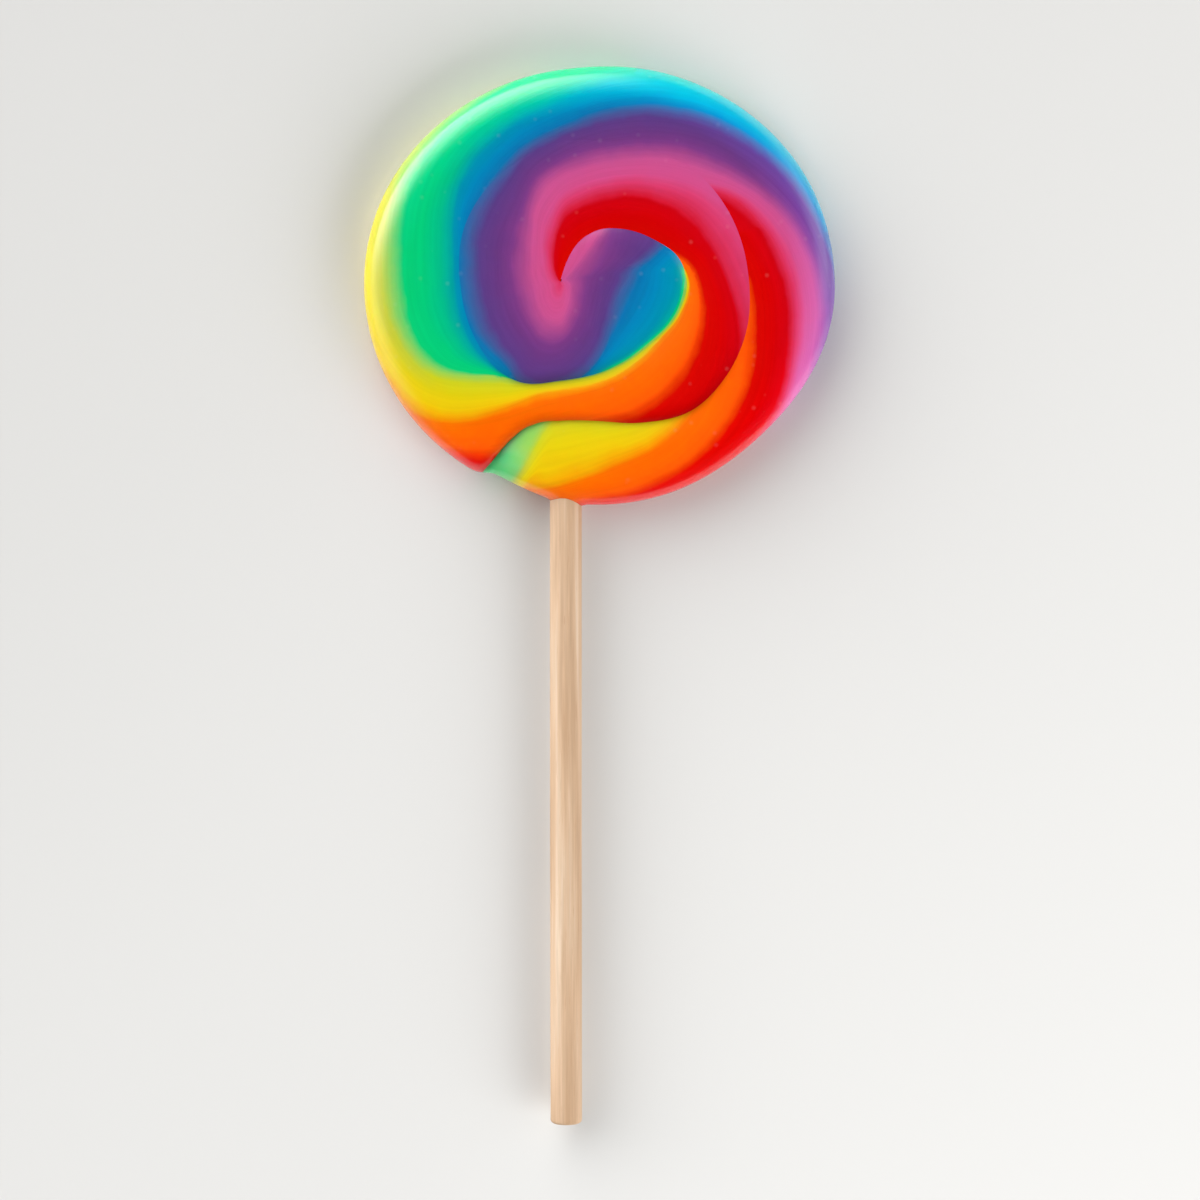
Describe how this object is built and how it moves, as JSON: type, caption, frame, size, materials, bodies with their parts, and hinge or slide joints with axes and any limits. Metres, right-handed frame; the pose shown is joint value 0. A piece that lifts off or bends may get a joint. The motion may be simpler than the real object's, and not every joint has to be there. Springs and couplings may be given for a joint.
{
  "type": "lollipop",
  "caption": "Round spiral lollipop of pressed rainbow hard candy on a straight wooden stick, lying flat with the swirl face up.",
  "frame": {"origin": "middle of the candy disc's flat underside, on the surface that the lollipop lies on", "axes": "+Z out of the shown swirl face, +Y from the stick towards the top of the disc, +X to the right of the shown face"},
  "size_m": [0.0878, 0.1992, 0.01],
  "materials": {
    "candy": "glossy boiled sugar, banded in rainbow colours",
    "stick": "bare pale birch"
  },
  "bodies": {
    "root": {"candy": "candy", "stick": "stick"}
  },
  "joints": []
}
